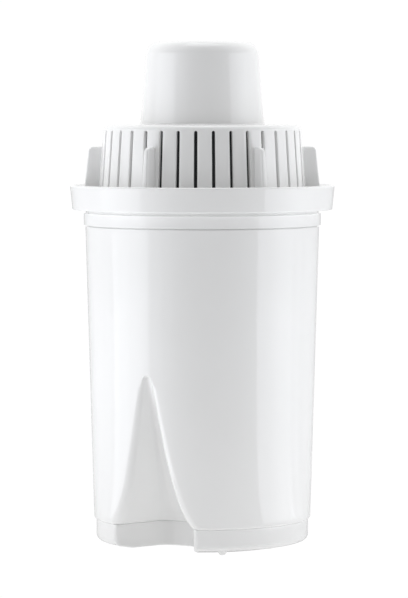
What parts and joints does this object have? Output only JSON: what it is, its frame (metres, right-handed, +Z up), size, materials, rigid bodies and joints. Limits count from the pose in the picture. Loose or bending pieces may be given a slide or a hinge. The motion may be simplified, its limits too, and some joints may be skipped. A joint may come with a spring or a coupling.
{
  "type": "water pitcher filter cartridge",
  "caption": "Drop-in water filter cartridge: hollow knob, slotted inlet basket with fins, flared rim over a collar, tapered cup with V-shaped key notches, slotted outlet base.",
  "frame": {"origin": "on the cartridge's axis, at the level of the feet under the base", "axes": "+Z up along the axis towards the knob; the key notches face -Y and +Y; +X to the right when a notch is looked at"},
  "size_m": [0.072, 0.0718, 0.137],
  "materials": {
    "lid_plastic": "glossy white moulding",
    "cup_plastic": "glossy white moulding",
    "base_plastic": "glossy white moulding",
    "upper_mesh": "fine dark woven mesh",
    "lower_mesh": "pale non-woven fleece",
    "granules": "packed dark granules"
  },
  "bodies": {
    "root": {"lid": "lid_plastic", "cup": "cup_plastic", "base": "base_plastic", "upper_screen": "upper_mesh", "lower_screen": "lower_mesh", "media": "granules"}
  },
  "joints": []
}
